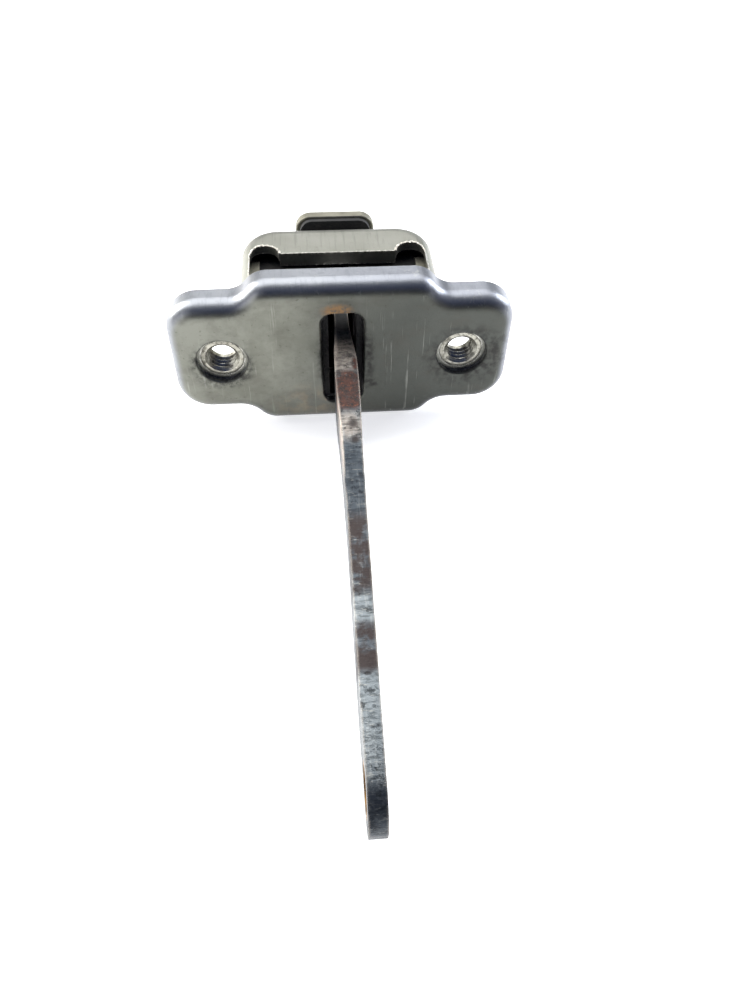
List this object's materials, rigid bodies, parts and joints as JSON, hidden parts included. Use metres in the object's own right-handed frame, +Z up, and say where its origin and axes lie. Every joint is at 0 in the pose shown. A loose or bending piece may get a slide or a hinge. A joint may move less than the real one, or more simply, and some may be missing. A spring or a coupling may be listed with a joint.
{
  "type": "vehicle door check",
  "caption": "Door check with a drawn steel housing, a bolted flange, a sprung brake inside and a flat check arm that slides and swings through a slot, with a rubber-faced stop at its tail.",
  "frame": {"origin": "on the front mounting face of the cover, midway between the two bolt holes", "axes": "+X along the row of bolt holes, +Y into the door through the housing, +Z up across the ears; the check arm leaves along -Y and droops 5.5 degrees"},
  "size_m": [0.0824, 0.1564, 0.0408],
  "materials": {
    "cover_steel": "drawn zinc-plated sheet, satin, scratched and lightly rusted at the slot",
    "cup_steel": "drawn zinc-plated sheet, dull",
    "collar_steel": "turned and zinc plated",
    "plate_steel": "stamped plate, dull",
    "arm_steel": "rolled flat bar, greasy, rusted near the brake",
    "pin_steel": "ground pin",
    "bush_bronze": "thin sintered sleeve",
    "guide_plastic": "moulded nylon, black",
    "shoe_plastic": "moulded acetal, dark",
    "spring_rubber": "moulded rubber, black",
    "seal_rubber": "soft cellular rubber, black",
    "pad_rubber": "dense elastomer, dark brown",
    "buffer_rubber": "moulded rubber, black"
  },
  "bodies": {
    "housing": {"front_cover": "cover_steel", "housing_cup": "cup_steel", "threaded_collars": "collar_steel", "seat_frame_left": "guide_plastic", "seat_frame_right": "guide_plastic", "spring_block_left": "spring_rubber", "spring_block_right": "spring_rubber", "backing_plate_left": "plate_steel", "backing_plate_right": "plate_steel", "dust_seal": "seal_rubber", "rear_guide": "guide_plastic"},
    "swivel": {"swivel_shoe_left": "shoe_plastic", "swivel_shoe_right": "shoe_plastic", "brake_pad_left": "pad_rubber", "brake_pad_right": "pad_rubber"},
    "arm": {"check_arm": "arm_steel", "eye_bush": "bush_bronze", "stop_plate": "plate_steel", "stop_buffer": "buffer_rubber", "stop_pin": "pin_steel"}
  },
  "joints": [
    {"name": "arm_swing", "type": "hinge", "parent": "housing", "child": "swivel", "pos_m": [0, 0.02, 0], "axis": [1, 0, 0], "range_deg": [-15, 8]},
    {"name": "arm_slide", "type": "slide", "parent": "swivel", "child": "arm", "axis": [0, 0.9954, 0.0958], "range_m": [0, 0.085], "deforming": ["brake_pad_left", "brake_pad_right"]}
  ]
}
